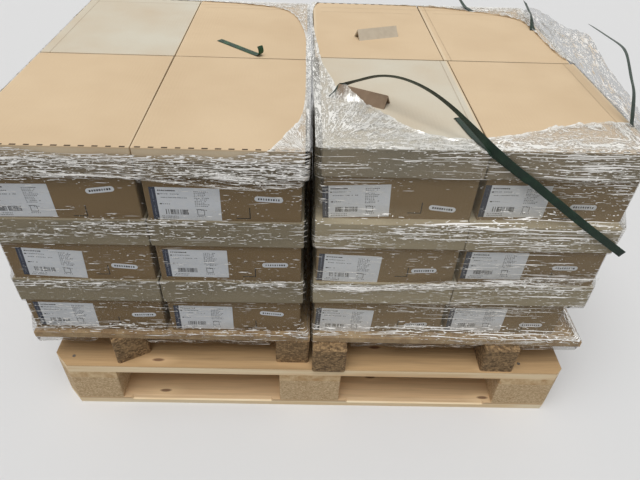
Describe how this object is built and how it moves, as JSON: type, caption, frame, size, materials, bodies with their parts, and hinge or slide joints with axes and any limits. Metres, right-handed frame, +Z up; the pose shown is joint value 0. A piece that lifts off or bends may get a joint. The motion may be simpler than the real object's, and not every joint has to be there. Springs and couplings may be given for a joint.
{
  "type": "stretch-wrapped pallet load of lidded cartons",
  "caption": "Wooden pallet load: two film-wrapped stacks of lidded cardboard cartons on small pallets, with cut green straps and board edge protectors on top.",
  "frame": {"origin": "centre of the base pallet's footprint on the floor", "axes": "+X along the base pallet's 1200 mm side, +Y from the load's front to its back, +Z up"},
  "size_m": [1.2519, 0.9092, 0.82],
  "materials": {
    "pale_timber": "rough sawn",
    "pressed_chip": "pressed chip",
    "plywood": "sanded sheet",
    "lid_board": "matte, creased",
    "carton_board": "matte",
    "light_green_strap": "satin",
    "green_strap": "satin",
    "brown_board": "matte",
    "grey_board": "matte",
    "stretch_film": "clear, wrinkled"
  },
  "bodies": {
    "root": {"back_edge_protector": "grey_board", "base_block_back_left": "pressed_chip", "base_block_back_middle": "pressed_chip", "base_block_back_right": "pressed_chip", "base_block_centre_left": "pressed_chip", "base_block_centre_middle": "pressed_chip", "base_block_centre_right": "pressed_chip", "base_block_front_left": "pressed_chip", "base_block_front_middle": "pressed_chip", "base_block_front_right": "pressed_chip", "base_bottom_board_back": "pale_timber", "base_bottom_board_centre": "pale_timber", "base_bottom_board_front": "pale_timber", "base_cross_board_left": "pale_timber", "base_cross_board_middle": "pale_timber", "base_cross_board_right": "pale_timber", "base_deck_board_back": "pale_timber", "base_deck_board_back_inner": "pale_timber", "base_deck_board_centre": "pale_timber", "base_deck_board_front": "pale_timber", "base_deck_board_front_inner": "pale_timber", "front_edge_protector": "brown_board", "left_curled_strap": "light_green_strap", "left_layer_1_bases": "carton_board", "left_layer_1_lids": "lid_board", "left_layer_2_bases": "carton_board", "left_layer_2_lids": "lid_board", "left_layer_3_bases": "carton_board", "left_layer_3_lids": "lid_board", "left_skid_block_back_inner": "pressed_chip", "left_skid_block_back_outer": "pressed_chip", "left_skid_block_centre_inner": "pressed_chip", "left_skid_block_centre_outer": "pressed_chip", "left_skid_block_front_inner": "pressed_chip", "left_skid_block_front_outer": "pressed_chip", "left_skid_deck": "plywood", "left_stretch_film": "stretch_film", "right_back_corner_strap": "green_strap", "right_back_strap": "green_strap", "right_layer_1_bases": "carton_board", "right_layer_1_lids": "lid_board", "right_layer_2_bases": "carton_board", "right_layer_2_lids": "lid_board", "right_layer_3_bases": "carton_board", "right_layer_3_lids": "lid_board", "right_long_strap": "green_strap", "right_second_strap": "green_strap", "right_side_strap": "green_strap", "right_skid_block_back_inner": "pressed_chip", "right_skid_block_back_outer": "pressed_chip", "right_skid_block_centre_inner": "pressed_chip", "right_skid_block_centre_outer": "pressed_chip", "right_skid_block_front_inner": "pressed_chip", "right_skid_block_front_outer": "pressed_chip", "right_skid_deck": "plywood", "right_stretch_film": "stretch_film"}
  },
  "joints": []
}
